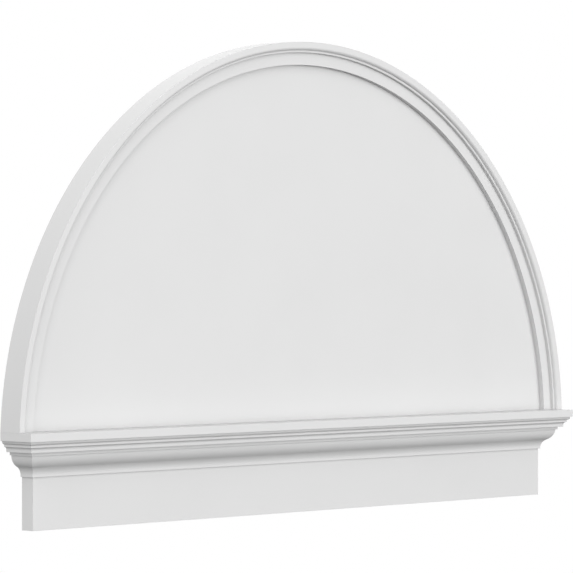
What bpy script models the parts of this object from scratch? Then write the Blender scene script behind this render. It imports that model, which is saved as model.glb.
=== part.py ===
"""Half-round pediment in cellular PVC: a sunk half-round field inside a moulded rim,
standing on a bottom trim of a flat frieze board under a mitred crown moulding.

Metres, +Z up. The back of every piece that meets the wall lies in the plane Y = 0 and the
front faces -Y. The origin is the centre of the rim's circle, on the wall plane.
"""

import math

import bmesh
import bpy
from mathutils import Matrix
from mathutils import Vector

# Clearance between pieces that touch
JOINT_GAP = 0.0003

# Rim of the half-round head
ARCH_RADIUS = 0.6604
ARCH_DEPTH = 0.04445
CENTRE_BELOW_CAP = 0.027
RIM_FRONT_FILLET = 0.0089
RIM_ROUND_RADIUS = 0.0050
RIM_MIDDLE_FILLET = 0.0027
RIM_SMALL_ROUND_RADIUS = 0.0012
RIM_BAND_DROP = 0.0104
RIM_BAND_WIDTH = 0.0203
ARCH_STEPS = 192

# Flat boards
PANEL_THICKNESS = 0.0254
FRIEZE_THICKNESS = 0.0254
FRIEZE_HEIGHT = 0.1533

# Crown moulding, from the cap's top edge down
CROWN_PROJECTION = 0.04445
FASCIA_HEIGHT = 0.0129
FASCIA_STEP = 0.0036
OVOLO_NECK = 0.0012
OVOLO_RADIUS = 0.0043
CROWN_FILLET = 0.0038
CAVETTO_RADIUS = 0.0045
DRIP_HEIGHT = 0.0038
DRIP_SOFFIT = 0.0071
UPPER_BEAD_HEIGHT = 0.0052
UPPER_BEAD_STEP = 0.0032
CYMA_DEPTH = 0.0192
CYMA_HEIGHT = 0.0316
CYMA_UPPER_SHARE = 0.57
FOOT_FILLET_HEIGHT = 0.0027

# Corners of the faceted rounds
SMALL_ROUND_STEPS = 5
CYMA_STEPS = 9

PVC_WHITE = (0.82, 0.82, 0.81)
PVC_ROUGHNESS = 0.45

# The cap's top is the plane that the head stands on; its ends line up with the rim's feet
CAP_TOP = CENTRE_BELOW_CAP
CAP_HALF_WIDTH = math.sqrt(ARCH_RADIUS ** 2 - CENTRE_BELOW_CAP ** 2)
FRIEZE_HALF_WIDTH = CAP_HALF_WIDTH - CROWN_PROJECTION - JOINT_GAP
CROWN_BACK_X = FRIEZE_HALF_WIDTH + JOINT_GAP
CROWN_BACK_Y = FRIEZE_THICKNESS + JOINT_GAP
CAP_DEPTH = CROWN_BACK_Y + CROWN_PROJECTION


def clear_scene():
    """Remove the objects, meshes and curves that a new file starts with."""
    for obj in list(bpy.data.objects):
        bpy.data.objects.remove(obj, do_unlink=True)
    for block in list(bpy.data.meshes) + list(bpy.data.curves):
        owner = bpy.data.meshes if isinstance(block, bpy.types.Mesh) else bpy.data.curves
        owner.remove(block)


def new_collection(name):
    """A collection of that name, linked into the scene."""
    collection = bpy.data.collections.new(name)
    bpy.context.scene.collection.children.link(collection)
    return collection


def pvc_material(name):
    """Satin white PVC."""
    material = bpy.data.materials.new(name)
    material.use_nodes = True
    shader = material.node_tree.nodes["Principled BSDF"]
    shader.inputs["Base Color"].default_value = (*PVC_WHITE, 1.0)
    shader.inputs["Roughness"].default_value = PVC_ROUGHNESS
    shader.inputs["Metallic"].default_value = 0.0
    return material


def add_object(name, mesh, collection):
    """An object around a mesh, with a material of its own."""
    obj = bpy.data.objects.new(name, mesh)
    collection.objects.link(obj)
    mesh.materials.clear()
    mesh.materials.append(pvc_material(name + "_pvc"))
    return obj


def arc(centre, radius, start, end, steps):
    """Points on a circular arc, from one angle to another in degrees, both ends included."""
    points = []
    for i in range(steps + 1):
        angle = math.radians(start + (end - start) * i / steps)
        points.append((centre[0] + radius * math.cos(angle), centre[1] + radius * math.sin(angle)))
    return points


def cyma_reversa(top, depth, height, upper_share, steps):
    """Two arcs with a common tangent: bulging out of the upright above, hollow below.

    Both ends are upright, so the arcs turn by the same angle, twice the slope of the
    straight line between the ends, and their radii add up to a fixed sum.
    """
    turn = 2.0 * math.atan2(depth, height)
    radii = (depth ** 2 + height ** 2) / (2.0 * depth)
    upper = radii * upper_share
    lower = radii - upper
    degrees = math.degrees(turn)
    bottom = (top[0] - depth, top[1] - height)
    points = arc((top[0] - upper, top[1]), upper, 0.0, -degrees, steps)
    points += arc((bottom[0] + lower, bottom[1]), lower, 180.0 - degrees, 180.0, steps)[1:]
    return points


def crown_outline():
    """Crown section as (distance out from its flat back, height above the cap's top)."""
    out = CROWN_PROJECTION
    points = [(0.0, 0.0), (out, 0.0), (out, -FASCIA_HEIGHT)]
    out -= FASCIA_STEP
    level = -FASCIA_HEIGHT
    points.append((out, level))
    level -= OVOLO_NECK
    points += arc((out - OVOLO_RADIUS, level), OVOLO_RADIUS, 0.0, -90.0, SMALL_ROUND_STEPS)
    out -= OVOLO_RADIUS
    level -= OVOLO_RADIUS + CROWN_FILLET
    points += arc((out, level - CAVETTO_RADIUS), CAVETTO_RADIUS, 90.0, 180.0, SMALL_ROUND_STEPS)
    out -= CAVETTO_RADIUS
    level -= CAVETTO_RADIUS + DRIP_HEIGHT
    points.append((out, level))
    out -= DRIP_SOFFIT
    points.append((out, level))
    level -= UPPER_BEAD_HEIGHT
    points.append((out, level))
    out -= UPPER_BEAD_STEP
    points += cyma_reversa((out, level), CYMA_DEPTH, CYMA_HEIGHT, CYMA_UPPER_SHARE, CYMA_STEPS)
    out -= CYMA_DEPTH
    level -= CYMA_HEIGHT + FOOT_FILLET_HEIGHT
    points += [(out, level), (0.0, level)]
    return points


def rim_outline():
    """Rim section as (radius, distance out from the wall)."""
    radius = ARCH_RADIUS
    out = ARCH_DEPTH
    points = [(radius, 0.0), (radius, out)]
    radius -= RIM_FRONT_FILLET
    points += arc((radius, out - RIM_ROUND_RADIUS), RIM_ROUND_RADIUS, 90.0, 180.0, SMALL_ROUND_STEPS)
    radius -= RIM_ROUND_RADIUS + RIM_MIDDLE_FILLET
    out -= RIM_ROUND_RADIUS
    centre = (radius, out - RIM_SMALL_ROUND_RADIUS)
    points += arc(centre, RIM_SMALL_ROUND_RADIUS, 90.0, 180.0, SMALL_ROUND_STEPS)
    radius -= RIM_SMALL_ROUND_RADIUS
    out = ARCH_DEPTH - RIM_BAND_DROP
    points.append((radius, out))
    radius -= RIM_BAND_WIDTH
    points += [(radius, out), (radius, 0.0)]
    return points


def rim_inner_radius():
    """Radius of the rim's inner wall."""
    return rim_outline()[-1][0]


def extruded_mesh(name, outline, length, matrix):
    """A flat outline filled on both faces, drawn out to a length and put in place."""
    curve = bpy.data.curves.new(name, "CURVE")
    curve.dimensions = "2D"
    curve.fill_mode = "BOTH"
    curve.extrude = length / 2.0
    spline = curve.splines.new("POLY")
    spline.points.add(len(outline) - 1)
    for point, (x, y) in zip(spline.points, outline):
        point.co = (x, y, 0.0, 1.0)
    spline.use_cyclic_u = True
    drawn = bpy.data.objects.new(name + "_outline", curve)
    bpy.context.scene.collection.objects.link(drawn)
    bpy.context.view_layer.update()
    depsgraph = bpy.context.evaluated_depsgraph_get()
    mesh = bpy.data.meshes.new_from_object(drawn.evaluated_get(depsgraph))
    bpy.data.objects.remove(drawn, do_unlink=True)
    bpy.data.curves.remove(curve)
    mesh.name = name
    mesh.transform(matrix)
    weld_and_face_outwards(mesh)
    return mesh


def weld_and_face_outwards(mesh):
    """Join the caps to the sides and turn all faces out."""
    work = bmesh.new()
    work.from_mesh(mesh)
    bmesh.ops.remove_doubles(work, verts=work.verts, dist=0.00001)
    bmesh.ops.recalc_face_normals(work, faces=work.faces)
    work.to_mesh(mesh)
    work.free()


def cut_with_plane(mesh, point, normal):
    """Cut off what lies beyond a plane and close the cut."""
    work = bmesh.new()
    work.from_mesh(mesh)
    geometry = work.verts[:] + work.edges[:] + work.faces[:]
    cut = bmesh.ops.bisect_plane(
        work, geom=geometry, plane_co=point, plane_no=normal, clear_outer=True, dist=0.000001)
    border = [item for item in cut["geom_cut"] if isinstance(item, bmesh.types.BMEdge)]
    bmesh.ops.triangle_fill(work, edges=border, use_beauty=True, normal=normal)
    bmesh.ops.recalc_face_normals(work, faces=work.faces)
    work.to_mesh(mesh)
    work.free()


def shade(mesh):
    """Smooth rounds with sharp arrises."""
    mesh.shade_smooth()
    mesh.set_sharp_from_angle(angle=math.radians(20.0))


def placed_box(name, low, high, collection):
    """A box between two corners."""
    work = bmesh.new()
    bmesh.ops.create_cube(work, size=1.0)
    mesh = bpy.data.meshes.new(name)
    work.to_mesh(mesh)
    work.free()
    size = [b - a for a, b in zip(low, high)]
    middle = Vector([(a + b) / 2.0 for a, b in zip(low, high)])
    mesh.transform(Matrix.Translation(middle) @ Matrix.Diagonal((*size, 1.0)))
    return add_object(name, mesh, collection)


def foot_cutter(collection):
    """A block below the head: everything under the cap's top, and the joint's gap, is cut off."""
    reach = 2.0 * ARCH_RADIUS
    cutter = placed_box(
        "foot_cutter",
        (-reach, -reach, -reach),
        (reach, reach, CAP_TOP + JOINT_GAP),
        collection)
    cutter.display_type = "WIRE"
    cutter.hide_render = True
    return cutter


def cut_flat_foot(obj, cutter):
    """Cut the full round piece flat where it stands on the cap."""
    modifier = obj.modifiers.new("flat_foot", "BOOLEAN")
    modifier.operation = "DIFFERENCE"
    modifier.solver = "EXACT"
    modifier.object = cutter


def arch_moulding(collection, cutter):
    """The rim: its section turned about the head's axis, then cut flat at the feet."""
    outline = rim_outline()
    mesh = bpy.data.meshes.new("arch_moulding")
    vertices = [(radius, -out, 0.0) for radius, out in outline]
    edges = [(i, (i + 1) % len(outline)) for i in range(len(outline))]
    mesh.from_pydata(vertices, edges, [])
    obj = add_object("arch_moulding", mesh, collection)
    turned = obj.modifiers.new("turned", "SCREW")
    turned.axis = "Y"
    turned.angle = 2.0 * math.pi
    turned.steps = ARCH_STEPS
    turned.render_steps = ARCH_STEPS
    turned.use_merge_vertices = True
    turned.merge_threshold = 0.00001
    turned.use_smooth_shade = True
    turned.use_normal_calculate = True
    cut_flat_foot(obj, cutter)
    return obj


def tympanum_panel(collection, cutter):
    """The flat field: a disc inside the rim, cut flat at the foot like the rim."""
    work = bmesh.new()
    radius = rim_inner_radius() - JOINT_GAP
    bmesh.ops.create_cone(
        work, cap_ends=True, segments=ARCH_STEPS, radius1=radius, radius2=radius, depth=PANEL_THICKNESS)
    mesh = bpy.data.meshes.new("tympanum_panel")
    work.to_mesh(mesh)
    work.free()
    upright = Matrix.Rotation(math.radians(90.0), 4, "X")
    mesh.transform(Matrix.Translation((0.0, -PANEL_THICKNESS / 2.0, 0.0)) @ upright)
    obj = add_object("tympanum_panel", mesh, collection)
    cut_flat_foot(obj, cutter)
    return obj


def frieze_board(collection):
    """The flat board that the crown is fixed to."""
    return placed_box(
        "frieze_board",
        (-FRIEZE_HALF_WIDTH, -FRIEZE_THICKNESS, CAP_TOP - FRIEZE_HEIGHT),
        (FRIEZE_HALF_WIDTH, 0.0, CAP_TOP),
        collection)


def crown_front(collection):
    """The crown along the frieze's face, with a mitre at both ends."""
    out = Vector((0.0, -1.0, 0.0))
    up = Vector((0.0, 0.0, 1.0))
    origin = Vector((0.0, -CROWN_BACK_Y, CAP_TOP))
    mesh = extruded_mesh(
        "crown_front", crown_outline(), 2.0 * (CAP_HALF_WIDTH + CAP_DEPTH), section_matrix(out, up, origin))
    for side in (-1.0, 1.0):
        point, normal = mitre_plane(side)
        cut_with_plane(mesh, point - normal * JOINT_GAP / 2.0, normal)
    shade(mesh)
    return add_object("crown_front", mesh, collection)


def crown_return(name, side, collection):
    """The crown along one end of the frieze, from the mitre back to the wall."""
    out = Vector((side, 0.0, 0.0))
    up = Vector((0.0, 0.0, 1.0))
    origin = Vector((side * CROWN_BACK_X, 0.0, CAP_TOP))
    mesh = extruded_mesh(
        name, crown_outline(), 2.0 * (CAP_DEPTH + CAP_HALF_WIDTH), section_matrix(out, up, origin))
    point, normal = mitre_plane(side)
    cut_with_plane(mesh, point + normal * JOINT_GAP / 2.0, -normal)
    cut_with_plane(mesh, Vector((0.0, 0.0, 0.0)), Vector((0.0, 1.0, 0.0)))
    shade(mesh)
    return add_object(name, mesh, collection)


def section_matrix(out, up, origin):
    """Places a section drawn in X and Y so that X runs out and Y runs up from an origin."""
    along = out.cross(up)
    matrix = Matrix((out, up, along)).transposed().to_4x4()
    matrix.translation = origin
    return matrix


def mitre_plane(side):
    """The upright plane of one mitre: a point on it, and its normal away from the front crown."""
    point = Vector((side * CROWN_BACK_X, -CROWN_BACK_Y, 0.0))
    normal = Vector((side, 1.0, 0.0)).normalized()
    return point, normal


def main():
    clear_scene()
    parts = new_collection("half_round_pediment")
    cutters = new_collection("cutters")
    cutter = foot_cutter(cutters)
    tympanum_panel(parts, cutter)
    arch_moulding(parts, cutter)
    frieze_board(parts)
    crown_front(parts)
    crown_return("crown_return_left", -1.0, parts)
    crown_return("crown_return_right", 1.0, parts)


main()
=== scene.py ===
"""A half-round PVC pediment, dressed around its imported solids: every face a surface worked
out with numpy, with the eased arrises of milled trim, in satin white cellular PVC.

Metres. The wall is the plane Y = 0, the front faces -Y, and the origin is the centre of the
rim's circle on the wall.
"""

import math

import bpy
import numpy as np
from bpy.props import FloatProperty
from bpy.props import FloatVectorProperty
from bpy.props import IntProperty
from bpy.props import PointerProperty
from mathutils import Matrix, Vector


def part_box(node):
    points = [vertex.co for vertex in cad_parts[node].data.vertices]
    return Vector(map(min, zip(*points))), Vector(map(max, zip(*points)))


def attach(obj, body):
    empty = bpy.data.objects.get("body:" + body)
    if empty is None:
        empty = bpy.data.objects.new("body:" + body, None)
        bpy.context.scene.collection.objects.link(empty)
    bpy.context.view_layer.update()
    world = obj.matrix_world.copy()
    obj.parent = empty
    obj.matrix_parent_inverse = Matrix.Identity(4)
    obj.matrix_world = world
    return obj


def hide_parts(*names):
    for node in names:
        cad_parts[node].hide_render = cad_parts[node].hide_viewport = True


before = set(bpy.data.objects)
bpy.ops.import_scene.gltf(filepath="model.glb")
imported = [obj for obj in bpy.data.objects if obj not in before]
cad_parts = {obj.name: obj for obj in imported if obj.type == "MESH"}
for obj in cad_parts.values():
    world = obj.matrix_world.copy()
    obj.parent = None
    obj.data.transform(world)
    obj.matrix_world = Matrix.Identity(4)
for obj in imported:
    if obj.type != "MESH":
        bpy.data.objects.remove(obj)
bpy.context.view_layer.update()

bl_info = {
    "name": "Half-Round PVC Pediment",
    "version": (1, 0, 0),
    "blender": (4, 5, 0),
    "location": "3D View > Sidebar > Pediment",
    "description": "A half-round pediment on a moulded bottom trim, with its studio",
    "category": "Add Mesh",
}

# Boxes of the solids, lowest corner and highest corner
RIM_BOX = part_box("arch_moulding")
FIELD_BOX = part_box("tympanum_panel")
FRIEZE_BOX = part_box("frieze_board")
CROWN_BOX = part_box("crown_front")
RETURN_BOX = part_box("crown_return_right")

TWO_SIDES = (-1.0, 1.0)

# How much of the solids' gap at a joint is filled with glue and paint
GLUE_LINE = 0.0002

# Smooth shading: width of the strip kept beside each arris, the shortest stretch of an
# outline that counts as a flat, and the angle from which an edge stays sharp
FLAT_MARGIN = 0.0001
SHORTEST_FLAT = 0.0015
SHARP_ANGLE = math.radians(34.0)

# Facets across each curved part of a section
ARRIS_STEPS = 3
ROUND_STEPS = 10
SMALL_ROUND_STEPS = 8
CYMA_STEPS = 24

# Height of the point that the field's rings shrink towards, as a share of its radius and foot
FIELD_MIDDLE_SHARE = 0.42


class RimSizes(bpy.types.PropertyGroup):
    """Section of the half-round rim."""

    radius: FloatProperty(
        name="Radius", description="Outer radius of the rim",
        default=RIM_BOX[1][2], min=0.1, unit="LENGTH")
    depth: FloatProperty(
        name="Depth", description="Depth of the rim from the wall to its front",
        default=-RIM_BOX[0][1], min=0.01, unit="LENGTH")
    foot: FloatProperty(
        name="Foot height", description="Height of the feet above the circle's centre",
        default=RIM_BOX[0][2] - GLUE_LINE, unit="LENGTH")
    front_fillet: FloatProperty(
        name="Front fillet", description="Width of the flat at the rim's outer edge",
        default=0.0089, min=0.001, unit="LENGTH")
    round_radius: FloatProperty(
        name="Quarter round", description="Radius of the quarter round inside the front fillet",
        default=0.0050, min=0.001, unit="LENGTH")
    middle_fillet: FloatProperty(
        name="Middle fillet", description="Width of the narrow flat under the quarter round",
        default=0.0027, min=0.0005, unit="LENGTH")
    small_round_radius: FloatProperty(
        name="Small round", description="Radius of the small round inside the middle fillet",
        default=0.0012, min=0.0005, unit="LENGTH")
    band_drop: FloatProperty(
        name="Band drop", description="How far the flat band lies behind the front fillet",
        default=0.0104, min=0.001, unit="LENGTH")
    band_width: FloatProperty(
        name="Band width", description="Width of the flat band",
        default=0.0203, min=0.001, unit="LENGTH")
    arris: FloatProperty(
        name="Arris", description="Radius of the eased edges",
        default=0.0002, min=0.0001, unit="LENGTH")
    steps: IntProperty(
        name="Steps", description="Steps along the rim, from foot to foot",
        default=320, min=32)


class CrownSizes(bpy.types.PropertyGroup):
    """Section of the crown moulding, from the cap's top down."""

    projection: FloatProperty(
        name="Projection", description="How far the fascia stands out from the crown's back",
        default=CROWN_BOX[1][1] - CROWN_BOX[0][1], min=0.01, unit="LENGTH")
    fascia: FloatProperty(
        name="Fascia", description="Height of the upright face at the top",
        default=0.0129, min=0.001, unit="LENGTH")
    fascia_step: FloatProperty(
        name="Fascia step", description="Depth of the step under the fascia",
        default=0.0036, min=0.0005, unit="LENGTH")
    ovolo_neck: FloatProperty(
        name="Ovolo neck", description="Upright above the upper round",
        default=0.0012, min=0.0, unit="LENGTH")
    ovolo_radius: FloatProperty(
        name="Ovolo", description="Radius of the upper round",
        default=0.0043, min=0.001, unit="LENGTH")
    fillet: FloatProperty(
        name="Fillet", description="Height of the narrow flat under the upper round",
        default=0.0038, min=0.0005, unit="LENGTH")
    cavetto_radius: FloatProperty(
        name="Cavetto", description="Radius of the small hollow",
        default=0.0045, min=0.0005, unit="LENGTH")
    drip_height: FloatProperty(
        name="Drip", description="Upright below the small hollow",
        default=0.0038, min=0.0005, unit="LENGTH")
    drip_soffit: FloatProperty(
        name="Drip soffit", description="Depth of the flat underside of the drip",
        default=0.0071, min=0.0005, unit="LENGTH")
    bead_height: FloatProperty(
        name="Upper bead", description="Height of the narrow flat above the cyma",
        default=0.0052, min=0.0005, unit="LENGTH")
    bead_step: FloatProperty(
        name="Bead step", description="Depth of the step from the bead to the cyma",
        default=0.0032, min=0.0005, unit="LENGTH")
    cyma_depth: FloatProperty(
        name="Cyma depth", description="How far the cyma draws in",
        default=0.0192, min=0.001, unit="LENGTH")
    cyma_height: FloatProperty(
        name="Cyma height", description="Height of the cyma",
        default=0.0316, min=0.001, unit="LENGTH")
    cyma_share: FloatProperty(
        name="Cyma share", description="Share of the upper, bulging arc in the cyma",
        default=0.57, min=0.1, max=0.9)
    foot_fillet: FloatProperty(
        name="Foot fillet", description="Height of the flat at the crown's foot",
        default=0.0027, min=0.0005, unit="LENGTH")
    arris: FloatProperty(
        name="Arris", description="Radius of the eased edges",
        default=0.0002, min=0.0001, unit="LENGTH")
    steps: IntProperty(
        name="Steps", description="Steps along the front crown",
        default=96, min=4)


class BoardSizes(bpy.types.PropertyGroup):
    """The flat boards: the field panel and the frieze."""

    arris: FloatProperty(
        name="Arris", description="Radius of the boards' eased edges",
        default=0.0003, min=0.0001, unit="LENGTH")
    steps: IntProperty(
        name="Steps", description="Steps round the field's curved edge",
        default=320, min=32)


class FinishLooks(bpy.types.PropertyGroup):
    """Colour and surface of the PVC."""

    white: FloatVectorProperty(
        name="White", description="Colour of the PVC", subtype="COLOR",
        size=3, default=(0.61, 0.61, 0.61), min=0.0, max=1.0)
    roughness: FloatProperty(
        name="Roughness", description="Mean roughness of the satin face",
        default=0.45, min=0.0, max=1.0, subtype="FACTOR")


class StudioSizes(bpy.types.PropertyGroup):
    """Camera, floor and light."""

    azimuth: FloatProperty(
        name="Azimuth", description="Turn of the camera to the object's left",
        default=math.radians(46.57), unit="ROTATION")
    distance: FloatProperty(
        name="Distance", description="Level distance of the camera from the origin",
        default=5.7351, unit="LENGTH")
    height: FloatProperty(
        name="Height", description="Height of the camera above the origin",
        default=0.2672, unit="LENGTH")
    lens: FloatProperty(
        name="Lens", description="Focal length in millimetres on a 36 mm sensor",
        default=213.99)
    floor_drop: FloatProperty(
        name="Floor drop", description="How far the floor lies below the origin",
        default=1.2, unit="LENGTH")
    floor_radius: FloatProperty(
        name="Floor radius", description="Radius of the round floor",
        default=7.0, unit="LENGTH")


# Where the camera's axis meets the picture, in pixels of the square frame
FRAME_PIXELS = 573.0
AXIS_PIXEL_X = 294.215
AXIS_PIXEL_Y = 276.970

# The dome: an even part, and soft lights as (direction towards the light, power, strength)
EVEN_LIGHT = 0.165
SOFT_LIGHTS = (
    ((-1.0, -1.0, 1.0), 6.0, 2.45),
    ((-1.0, 0.0, 0.0), 6.0, 1.16),
    ((-1.0, 1.0, 0.0), 6.0, 0.74),
    ((0.0, 1.0, 1.0), 6.0, 0.95),
    ((1.0, 1.0, 1.0), 6.0, 1.67),
    ((1.0, -1.0, 1.0), 6.0, 0.42),
    ((0.0, -1.0, 1.0), 6.0, 0.14),
    ((0.5, -1.0, 0.0), 16.0, 5.87),
)


def with_margins(outline):
    """A closed outline with a point just inside each end of every flat, a margin's width on,
    so that the smooth shading of an arris or a round doesn't spread over the flat beside it."""
    step = np.roll(outline, -1, axis=0) - outline
    length = np.linalg.norm(step, axis=1)[:, None]
    inward = step / length * FLAT_MARGIN
    near = outline + inward
    far = outline + step - inward
    flat = length[:, 0] > SHORTEST_FLAT
    kept = np.stack([np.full(len(outline), True), flat, flat], axis=1)
    return np.stack([outline, near, far], axis=1)[kept]


def rounded_profile(corners, radii, steps=ARRIS_STEPS):
    """A closed outline with its corners eased.

    Each corner is replaced by an arc that touches both of its edges. The arc's centre lies on
    the corner's bisector. Its points run evenly along the chord and are moved out onto the
    arc. A corner of radius 0 is kept as a single point.
    """
    points = []
    count = len(corners)
    for i, radius in enumerate(radii):
        here = np.array(corners[i])
        if radius <= 0.0:
            points.append(here[None])
            continue
        before = np.array(corners[i - 1]) - here
        after = np.array(corners[(i + 1) % count]) - here
        before /= np.linalg.norm(before)
        after /= np.linalg.norm(after)
        half = math.acos(float(np.clip(before @ after, -1.0, 1.0))) / 2.0
        middle = before + after
        middle /= np.linalg.norm(middle)
        centre = here + middle * radius / math.sin(half)
        first = here + before * radius / math.tan(half) - centre
        last = here + after * radius / math.tan(half) - centre
        share = np.linspace(0.0, 1.0, steps + 1)[:, None]
        spoke = first * (1.0 - share) + last * share
        spoke *= radius / np.linalg.norm(spoke, axis=1)[:, None]
        points.append(centre + spoke)
    return with_margins(np.concatenate(points))


def arc(centre, radius, start, end, steps):
    """Points at even angles on a circular arc, in degrees, both ends included."""
    angle = np.radians(np.linspace(start, end, steps + 1))
    return np.stack([centre[0] + radius * np.cos(angle), centre[1] + radius * np.sin(angle)], axis=1)


def cyma_reversa(top, depth, height, upper_share, steps):
    """Two arcs with a common tangent, upright at both ends: bulging above, hollow below.

    Both arcs turn by twice the slope angle of the chord, and their radii add up to the
    chord's square over twice the depth.
    """
    turn = math.degrees(2.0 * math.atan2(depth, height))
    radii = (depth ** 2 + height ** 2) / (2.0 * depth)
    upper = radii * upper_share
    lower = radii - upper
    bulge = arc((top[0] - upper, top[1]), upper, 0.0, -turn, steps)
    hollow = arc((top[0] - depth + lower, top[1] - height), lower, 180.0 - turn, 180.0, steps)
    return np.concatenate([bulge, hollow[1:]])


def mesh_object(name, points, faces, uv=None):
    """A smooth-shaded mesh at the origin, with its own UV map in metres where one is given."""
    mesh = bpy.data.meshes.new(name)
    mesh.from_pydata(points, [], faces)
    if uv is not None:
        layer = mesh.uv_layers.new(name="surface")
        corner_vertex = np.empty(len(mesh.loops), dtype=np.int32)
        mesh.loops.foreach_get("vertex_index", corner_vertex)
        layer.data.foreach_set("uv", uv[corner_vertex].astype(np.float32).ravel())
    mesh.shade_smooth()
    mesh.set_sharp_from_angle(angle=SHARP_ANGLE)
    mesh.validate()
    obj = bpy.data.objects.new(name, mesh)
    bpy.context.scene.collection.objects.link(obj)
    return obj


def grid_faces(rows, columns, closed):
    """Quads of a grid of points stored row after row. A closed grid joins its last column to
    the first."""
    across = columns if closed else columns - 1
    row, column = np.meshgrid(np.arange(rows - 1), np.arange(across), indexing="ij")
    beside = (column + 1) % columns
    quads = np.stack([
        row * columns + column,
        row * columns + beside,
        (row + 1) * columns + beside,
        (row + 1) * columns + column], axis=-1)
    return quads.reshape(-1, 4)


def fan_faces(middle, first, ring):
    """Triangles from a middle point to a ring of points that are stored from first on."""
    here = np.arange(ring)
    beside = (here + 1) % ring
    return np.stack([np.full(ring, middle), first + here, first + beside], axis=-1)


def girth(profile):
    """Distance along a closed outline from its first point to each of its points."""
    step = np.linalg.norm(np.diff(profile, axis=0), axis=1)
    return np.concatenate([[0.0], np.cumsum(step)])


def capped_sweep(name, rows, along, around):
    """A closed section carried along a path, with a flat face over each end.

    rows holds the section's points at each station of the path, station after station, along
    the distance of each point down the path and around its distance round the section. The
    two end faces are the first and last stations, filled flat.
    """
    stations, ring = rows.shape[:2]
    points = rows.reshape(-1, 3)
    sides = grid_faces(stations, ring, True)
    first = list(range(ring))
    last = list(range((stations - 1) * ring, stations * ring))
    faces = sides.tolist() + [first[::-1], last]
    uv = np.stack([along, around], axis=-1).reshape(-1, 2)
    obj = mesh_object(name, points, faces, uv)
    face_outwards(obj)
    return obj


def face_outwards(obj):
    """Turn every face of a closed mesh outwards, by the sign of its volume."""
    mesh = obj.data
    mesh.calc_loop_triangles()
    corners = np.empty(len(mesh.loop_triangles) * 3, dtype=np.int32)
    mesh.loop_triangles.foreach_get("vertices", corners)
    place = np.empty(len(mesh.vertices) * 3)
    mesh.vertices.foreach_get("co", place)
    a, b, c = place.reshape(-1, 3)[corners].reshape(-1, 3, 3).transpose(1, 0, 2)
    volume = np.einsum("ij,ij->i", a, np.cross(b, c)).sum()
    if volume < 0.0:
        mesh.flip_normals()


def rim_profile(sizes):
    """The rim's section as (radius, distance out from the wall), with eased arrises."""
    radius = sizes.radius
    out = sizes.depth
    ease = sizes.arris
    corners = [(radius, 0.0), (radius, out)]
    radii = [ease, ease]
    radius -= sizes.front_fillet
    ovolo = arc(
        (radius, out - sizes.round_radius), sizes.round_radius, 90.0, 180.0, ROUND_STEPS)
    corners += ovolo.tolist()
    radii += [0.0] * len(ovolo)
    radius -= sizes.round_radius + sizes.middle_fillet
    out -= sizes.round_radius
    small = arc(
        (radius, out - sizes.small_round_radius), sizes.small_round_radius,
        90.0, 180.0, SMALL_ROUND_STEPS)
    corners += small.tolist()
    radii += [0.0] * len(small)
    radius -= sizes.small_round_radius
    out = sizes.depth - sizes.band_drop
    corners.append((radius, out))
    radii.append(0.0)
    radius -= sizes.band_width
    corners += [(radius, out), (radius, 0.0)]
    radii += [ease, ease]
    return rounded_profile(corners, radii)


def build_rim(sizes):
    """The half-round rim.

    Each point of the section, at radius r, runs round the circle between the two angles
    where its height, r times the sine, is the foot's, so both feet are flat and level.
    """
    profile = rim_profile(sizes)
    radius, out = profile[:, 0], profile[:, 1]
    lowest = np.arcsin(sizes.foot / radius)
    share = np.linspace(0.0, 1.0, sizes.steps + 1)[:, None]
    angle = lowest + share * (math.pi - 2.0 * lowest)
    rows = np.stack([
        radius * np.cos(angle),
        np.broadcast_to(-out, angle.shape),
        radius * np.sin(angle)], axis=-1)
    along = angle * sizes.radius
    around = np.broadcast_to(girth(profile), angle.shape)
    return capped_sweep("rim", rows, along, around)


def half_disc(radius, foot, arc_steps, foot_steps):
    """Points round a disc of that radius cut off level at the foot: the arc, then the foot's line."""
    lowest = np.arcsin(foot / radius)
    angle = np.linspace(lowest, math.pi - lowest, arc_steps + 1)
    curved = np.stack([radius * np.cos(angle), radius * np.sin(angle)], axis=1)
    half = math.sqrt(radius ** 2 - foot ** 2)
    across = np.linspace(-half, half, foot_steps + 1)[1:-1]
    straight = np.stack([across, np.full_like(across, foot)], axis=1)
    return np.concatenate([curved, straight])


def rectangle(half_width, low, high, long_steps, short_steps):
    """Points round an upright rectangle, the same number whatever its size."""
    across = np.linspace(-half_width, half_width, long_steps + 1)
    upward = np.linspace(low, high, short_steps + 1)[1:-1]
    top = np.stack([across[::-1], np.full_like(across, high)], axis=1)
    left = np.stack([np.full_like(upward, -half_width), upward[::-1]], axis=1)
    bottom = np.stack([across, np.full_like(across, low)], axis=1)
    right = np.stack([np.full_like(upward, half_width), upward], axis=1)
    return np.concatenate([top, left, bottom, right])


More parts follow.
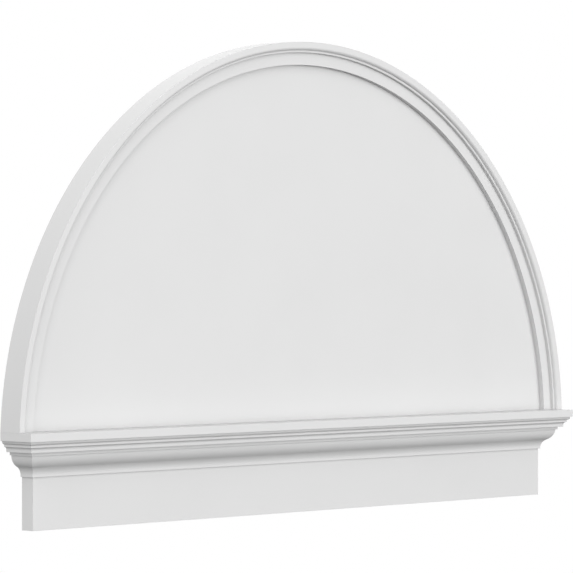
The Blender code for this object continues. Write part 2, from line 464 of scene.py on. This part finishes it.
def build_board(name, outline, depth, ease, centre, rings=12):
    """A flat board cut to an outline, its front and back arrises eased.

    outline(inset) gives the board's edge drawn in by a distance. From the middle of the back
    to the middle of the front, the edge is carried through a list of insets and depths: in
    the faces it shrinks evenly towards the centre, at an arris it follows a quarter circle
    of the easing radius, and down the side it keeps its full size.
    """
    turn = np.linspace(0.0, math.pi / 2.0, 4)
    inset = ease * (1.0 - np.sin(turn))
    fall = ease * (1.0 - np.cos(turn))
    strip = ease + FLAT_MARGIN
    arris = [(strip, 0.0)] + list(zip(inset.tolist(), fall.tolist())) + [(0.0, strip)]
    edge = arris + [(i, depth - f) for i, f in arris[::-1]]
    middle = np.array(centre)
    loops = []
    inner_back = outline(edge[0][0])
    shares = np.linspace(0.0, 1.0, rings + 1)[1:-1, None, None]
    loops += list(middle + (inner_back - middle) * shares)
    depths = [0.0] * (rings - 1)
    for i, out in edge:
        loops.append(outline(i))
        depths.append(out)
    inner_front = outline(edge[-1][0])
    loops += list(middle + (inner_front - middle) * shares[::-1])
    depths += [depth] * (rings - 1)
    rows = np.array(loops)
    outs = np.array(depths)[:, None]
    ring = rows.shape[1]
    depth_of_row = np.broadcast_to(-outs, rows.shape[:2])
    points = np.stack([rows[..., 0], depth_of_row, rows[..., 1]], axis=-1).reshape(-1, 3)
    back_middle = (middle[0], 0.0, middle[1])
    front_middle = (middle[0], -depth, middle[1])
    points = np.concatenate([points, [back_middle, front_middle]])
    back_index, front_index = len(points) - 2, len(points) - 1
    faces = grid_faces(len(loops), ring, True).tolist()
    start = (len(loops) - 1) * ring
    faces += fan_faces(back_index, 0, ring)[:, ::-1].tolist()
    faces += fan_faces(front_index, start, ring).tolist()
    uv = points[:, [0, 2]]
    obj = mesh_object(name, points, faces, uv)
    face_outwards(obj)
    return obj


def crown_profile(sizes):
    """The crown's section as (distance out from its back, height above the cap's top). Its
    glue stands a little behind its back."""
    out = sizes.projection
    ease = sizes.arris
    corners = [(-GLUE_LINE, 0.0), (out, 0.0), (out, -sizes.fascia)]
    radii = [0.0, ease, ease]
    out -= sizes.fascia_step
    level = -sizes.fascia
    corners.append((out, level))
    radii.append(0.0)
    level -= sizes.ovolo_neck
    ovolo = arc((out - sizes.ovolo_radius, level), sizes.ovolo_radius, 0.0, -90.0, ROUND_STEPS)
    corners += ovolo.tolist()
    radii += [0.0] * len(ovolo)
    out -= sizes.ovolo_radius
    level -= sizes.ovolo_radius + sizes.fillet
    hollow = arc(
        (out, level - sizes.cavetto_radius), sizes.cavetto_radius,
        90.0, 180.0, SMALL_ROUND_STEPS)
    corners += hollow.tolist()
    radii += [ease / 2.0] + [0.0] * (len(hollow) - 1)
    out -= sizes.cavetto_radius
    level -= sizes.cavetto_radius + sizes.drip_height
    corners.append((out, level))
    radii.append(ease)
    out -= sizes.drip_soffit
    corners.append((out, level))
    radii.append(0.0)
    level -= sizes.bead_height
    corners.append((out, level))
    radii.append(ease)
    out -= sizes.bead_step
    cyma = cyma_reversa(
        (out, level), sizes.cyma_depth, sizes.cyma_height, sizes.cyma_share, CYMA_STEPS)
    corners += cyma.tolist()
    radii += [0.0] * len(cyma)
    out -= sizes.cyma_depth
    level -= sizes.cyma_height + sizes.foot_fillet
    corners += [(out, level), (-GLUE_LINE, level)]
    radii += [ease, 0.0]
    return rounded_profile(corners, radii)


def build_crown_front(sizes):
    """The front crown: each point of the section runs along X out to the mitre planes,
    which lie as far out beyond the frieze's end as the point stands out from its back."""
    profile = crown_profile(sizes)
    out, level = profile[:, 0], profile[:, 1]
    corner = RETURN_BOX[0][0]
    back = CROWN_BOX[1][1]
    half = corner + out
    share = np.linspace(-1.0, 1.0, sizes.steps + 1)[:, None]
    across = share * half
    rows = np.stack([
        across,
        np.broadcast_to(back - out, across.shape),
        np.broadcast_to(CROWN_BOX[1][2] + level, across.shape)], axis=-1)
    around = np.broadcast_to(girth(profile), across.shape)
    return capped_sweep("crown_front_dressed", rows, across, around)


def build_crown_return(name, side, sizes):
    """A return: each point of the section runs along Y from the mitre plane to the wall."""
    profile = crown_profile(sizes)
    out, level = profile[:, 0], profile[:, 1]
    corner = RETURN_BOX[0][0]
    back = CROWN_BOX[1][1]
    front = back - out
    share = np.linspace(0.0, 1.0, 9)[:, None]
    depth = front * (1.0 - share)
    rows = np.stack([
        np.broadcast_to(side * (corner + out), depth.shape),
        depth,
        np.broadcast_to(RETURN_BOX[1][2] + level, depth.shape)], axis=-1)
    around = np.broadcast_to(girth(profile), depth.shape)
    return capped_sweep(name, rows, depth, around)


def node_tree(material):
    """The material's nodes, links and Principled shader."""
    material.use_nodes = True
    tree = material.node_tree
    return tree.nodes, tree.links, tree.nodes["Principled BSDF"]


def pvc_material(name, looks, stretch, bump_scale):
    """Satin white cellular PVC: a tone that wanders by a hair, a roughness that does so too,
    and a fine skin texture, drawn out along a milled moulding by the stretch."""
    material = bpy.data.materials.new(name)
    nodes, links, shader = node_tree(material)
    shader.inputs["Roughness"].default_value = looks.roughness
    shader.inputs["IOR"].default_value = 1.52
    shader.inputs["Specular IOR Level"].default_value = 0.35
    place = nodes.new("ShaderNodeUVMap")
    place.uv_map = "surface"
    drawn = nodes.new("ShaderNodeMapping")
    drawn.inputs["Scale"].default_value = (1.0 / stretch, 1.0, 1.0)
    links.new(place.outputs["UV"], drawn.inputs["Vector"])
    where = nodes.new("ShaderNodeTexCoord")

    cloud = nodes.new("ShaderNodeTexNoise")
    cloud.inputs["Scale"].default_value = 6.0
    cloud.inputs["Detail"].default_value = 3.0
    links.new(where.outputs["Object"], cloud.inputs["Vector"])
    tone = nodes.new("ShaderNodeValToRGB")
    white = np.array(looks.white[:])
    tone.color_ramp.elements[0].position = 0.3
    tone.color_ramp.elements[0].color = (*(white * 0.985), 1.0)
    tone.color_ramp.elements[1].position = 0.7
    tone.color_ramp.elements[1].color = (*(white * 1.005), 1.0)
    links.new(cloud.outputs["Fac"], tone.inputs["Fac"])
    links.new(tone.outputs["Color"], shader.inputs["Base Color"])

    skin = nodes.new("ShaderNodeTexNoise")
    skin.inputs["Scale"].default_value = bump_scale
    skin.inputs["Detail"].default_value = 4.0
    links.new(drawn.outputs["Vector"], skin.inputs["Vector"])
    satin = nodes.new("ShaderNodeMapRange")
    satin.inputs["To Min"].default_value = looks.roughness - 0.04
    satin.inputs["To Max"].default_value = looks.roughness + 0.06
    links.new(skin.outputs["Fac"], satin.inputs["Value"])
    links.new(satin.outputs["Result"], shader.inputs["Roughness"])
    bump = nodes.new("ShaderNodeBump")
    bump.inputs["Strength"].default_value = 0.06
    bump.inputs["Distance"].default_value = 0.0002
    links.new(skin.outputs["Fac"], bump.inputs["Height"])
    links.new(bump.outputs["Normal"], shader.inputs["Normal"])
    return material


def board_finish(looks):
    """The skin of PVC sheet: an even, fine orange peel."""
    return pvc_material("pvc_board_satin", looks, 1.0, 900.0)


def moulding_finish(looks):
    """Milled PVC: the same white, with the cutter's faint lines along the length."""
    return pvc_material("pvc_moulding_satin", looks, 12.0, 1100.0)


def dress(obj, material, node):
    """Give a piece its finish and its body, and hide the solid that it stands for."""
    obj.data.materials.clear()
    obj.data.materials.append(material)
    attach(obj, "root")
    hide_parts(node)


class PEDIMENT_OT_field(bpy.types.Operator):
    """Add the sunk half-round field"""

    bl_idname = "pediment.field"
    bl_label = "Add Field"

    def execute(self, context):
        sizes = context.scene.pediment_boards
        radius = FIELD_BOX[1][2] + GLUE_LINE
        foot = FIELD_BOX[0][2] - GLUE_LINE

        def outline(inset):
            return half_disc(radius - inset, foot + inset, sizes.steps, 120)

        centre = (0.0, (radius + foot) * FIELD_MIDDLE_SHARE)
        obj = build_board("field", outline, -FIELD_BOX[0][1], sizes.arris, centre)
        dress(obj, board_finish(context.scene.pediment_finish), "tympanum_panel")
        return {"FINISHED"}


class PEDIMENT_OT_rim(bpy.types.Operator):
    """Add the moulded half-round rim"""

    bl_idname = "pediment.rim"
    bl_label = "Add Rim"

    def execute(self, context):
        obj = build_rim(context.scene.pediment_rim)
        dress(obj, moulding_finish(context.scene.pediment_finish), "arch_moulding")
        return {"FINISHED"}


class PEDIMENT_OT_frieze(bpy.types.Operator):
    """Add the flat frieze board"""

    bl_idname = "pediment.frieze"
    bl_label = "Add Frieze"

    def execute(self, context):
        sizes = context.scene.pediment_boards
        low, high = FRIEZE_BOX

        def outline(inset):
            return rectangle(high[0] - inset, low[2] + inset, high[2] - inset, 96, 12)

        centre = (0.0, (low[2] + high[2]) / 2.0)
        obj = build_board("frieze", outline, -low[1], sizes.arris, centre)
        dress(obj, board_finish(context.scene.pediment_finish), "frieze_board")
        return {"FINISHED"}


class PEDIMENT_OT_crown(bpy.types.Operator):
    """Add the front crown and its two returns"""

    bl_idname = "pediment.crown"
    bl_label = "Add Crown"

    def execute(self, context):
        sizes = context.scene.pediment_crown
        finish = moulding_finish(context.scene.pediment_finish)
        dress(build_crown_front(sizes), finish, "crown_front")
        for side, word in zip(TWO_SIDES, ("left", "right")):
            name = "crown_return_" + word
            piece = build_crown_return(name + "_dressed", side, sizes)
            dress(piece, finish, name)
        return {"FINISHED"}


class PEDIMENT_OT_studio(bpy.types.Operator):
    """Add the floor, the lights and the camera"""

    bl_idname = "pediment.studio"
    bl_label = "Add Studio"

    def execute(self, context):
        sizes = context.scene.pediment_studio
        add_floor(sizes)
        add_daylight(context.scene)
        add_camera(context.scene, sizes)
        context.scene.view_settings.view_transform = "Standard"
        return {"FINISHED"}


def add_floor(sizes):
    """A round, plain, pale floor: rings of points at even angles about the middle."""
    angle = np.linspace(0.0, 2.0 * math.pi, 129)[:-1]
    radius = np.linspace(0.0, sizes.floor_radius, 9)[1:, None]
    rows = np.stack([
        radius * np.cos(angle),
        radius * np.sin(angle),
        np.full((len(radius), len(angle)), -sizes.floor_drop)], axis=-1)
    points = np.concatenate([rows.reshape(-1, 3), [(0.0, 0.0, -sizes.floor_drop)]])
    middle = len(points) - 1
    ring = len(angle)
    faces = grid_faces(len(radius), ring, True)[:, ::-1].tolist()
    faces += fan_faces(middle, 0, ring).tolist()
    floor = mesh_object("floor", points, faces)
    material = bpy.data.materials.new("floor_paint")
    nodes, links, shader = node_tree(material)
    shader.inputs["Base Color"].default_value = (0.90, 0.90, 0.90, 1.0)
    shader.inputs["Roughness"].default_value = 0.9
    floor.data.materials.append(material)
    floor.visible_diffuse = False
    floor.visible_glossy = False


def add_daylight(scene):
    """Soft light from all round, seen as plain white.

    The dome's strength in a direction d is an even part plus, for each soft light, its
    strength times max(0, d . axis) to the light's power.
    """
    world = bpy.data.worlds.new("studio_dome")
    world.use_nodes = True
    scene.world = world
    nodes, links = world.node_tree.nodes, world.node_tree.links
    nodes.clear()
    out = nodes.new("ShaderNodeOutputWorld")
    seen = nodes.new("ShaderNodeBackground")
    seen.inputs["Color"].default_value = (1.0, 1.0, 1.0, 1.0)
    dome = nodes.new("ShaderNodeBackground")
    dome.inputs["Color"].default_value = (1.0, 1.0, 1.0, 1.0)
    where = nodes.new("ShaderNodeTexCoord")
    total = nodes.new("ShaderNodeValue")
    total.outputs["Value"].default_value = EVEN_LIGHT
    sum_so_far = total.outputs["Value"]
    for axis, power, strength in SOFT_LIGHTS:
        facing = nodes.new("ShaderNodeVectorMath")
        facing.operation = "DOT_PRODUCT"
        facing.inputs[1].default_value = Vector(axis).normalized()
        links.new(where.outputs["Generated"], facing.inputs[0])
        lit = nodes.new("ShaderNodeMath")
        lit.operation = "MAXIMUM"
        lit.inputs[1].default_value = 0.0
        links.new(facing.outputs["Value"], lit.inputs[0])
        falloff = nodes.new("ShaderNodeMath")
        falloff.operation = "POWER"
        falloff.inputs[1].default_value = power
        links.new(lit.outputs["Value"], falloff.inputs[0])
        added = nodes.new("ShaderNodeMath")
        added.operation = "MULTIPLY_ADD"
        added.inputs[1].default_value = strength
        links.new(falloff.outputs["Value"], added.inputs[0])
        links.new(sum_so_far, added.inputs[2])
        sum_so_far = added.outputs["Value"]
    links.new(sum_so_far, dome.inputs["Strength"])
    path = nodes.new("ShaderNodeLightPath")
    mix = nodes.new("ShaderNodeMixShader")
    links.new(path.outputs["Is Camera Ray"], mix.inputs["Fac"])
    links.new(dome.outputs["Background"], mix.inputs[1])
    links.new(seen.outputs["Background"], mix.inputs[2])
    links.new(mix.outputs["Shader"], out.inputs["Surface"])


def add_camera(scene, sizes):
    """A level camera that looks at the object from its left, framed by a small shift."""
    camera = bpy.data.cameras.new("camera")
    camera.sensor_width = 36.0
    camera.lens = sizes.lens
    camera.shift_x = (FRAME_PIXELS / 2.0 - AXIS_PIXEL_X) / FRAME_PIXELS
    camera.shift_y = (AXIS_PIXEL_Y - FRAME_PIXELS / 2.0) / FRAME_PIXELS
    camera.clip_end = 100.0
    obj = bpy.data.objects.new("camera", camera)
    scene.collection.objects.link(obj)
    turn = sizes.azimuth
    obj.location = Vector((
        -sizes.distance * math.sin(turn), -sizes.distance * math.cos(turn), sizes.height))
    obj.rotation_euler = (math.radians(90.0), 0.0, -turn)
    scene.camera = obj


class PEDIMENT_PT_panel(bpy.types.Panel):
    """The pediment's sizes and its steps."""

    bl_label = "Half-Round Pediment"
    bl_idname = "VIEW3D_PT_pediment"
    bl_space_type = "VIEW_3D"
    bl_region_type = "UI"
    bl_category = "Pediment"

    def draw(self, context):
        layout = self.layout
        for operator in STEPS:
            layout.operator(operator.bl_idname)
        for group in GROUPS:
            box = layout.box()
            owner = getattr(context.scene, group)
            for name in owner.bl_rna.properties.keys():
                if name not in ("rna_type", "name"):
                    box.prop(owner, name)


GROUPS = {
    "pediment_rim": RimSizes,
    "pediment_crown": CrownSizes,
    "pediment_boards": BoardSizes,
    "pediment_finish": FinishLooks,
    "pediment_studio": StudioSizes,
}
STEPS = (
    PEDIMENT_OT_field,
    PEDIMENT_OT_rim,
    PEDIMENT_OT_frieze,
    PEDIMENT_OT_crown,
    PEDIMENT_OT_studio,
)


def register():
    for group in GROUPS.values():
        bpy.utils.register_class(group)
    for name, group in GROUPS.items():
        setattr(bpy.types.Scene, name, PointerProperty(type=group))
    for step in STEPS:
        bpy.utils.register_class(step)
    bpy.utils.register_class(PEDIMENT_PT_panel)


def unregister():
    bpy.utils.unregister_class(PEDIMENT_PT_panel)
    for step in reversed(STEPS):
        bpy.utils.unregister_class(step)
    for name in GROUPS:
        delattr(bpy.types.Scene, name)
    for group in reversed(list(GROUPS.values())):
        bpy.utils.unregister_class(group)


def main():
    """Register the tools and build every piece in order."""
    register()
    bpy.ops.pediment.field()
    bpy.ops.pediment.rim()
    bpy.ops.pediment.frieze()
    bpy.ops.pediment.crown()
    bpy.ops.pediment.studio()


if __name__ == "__main__":
    main()
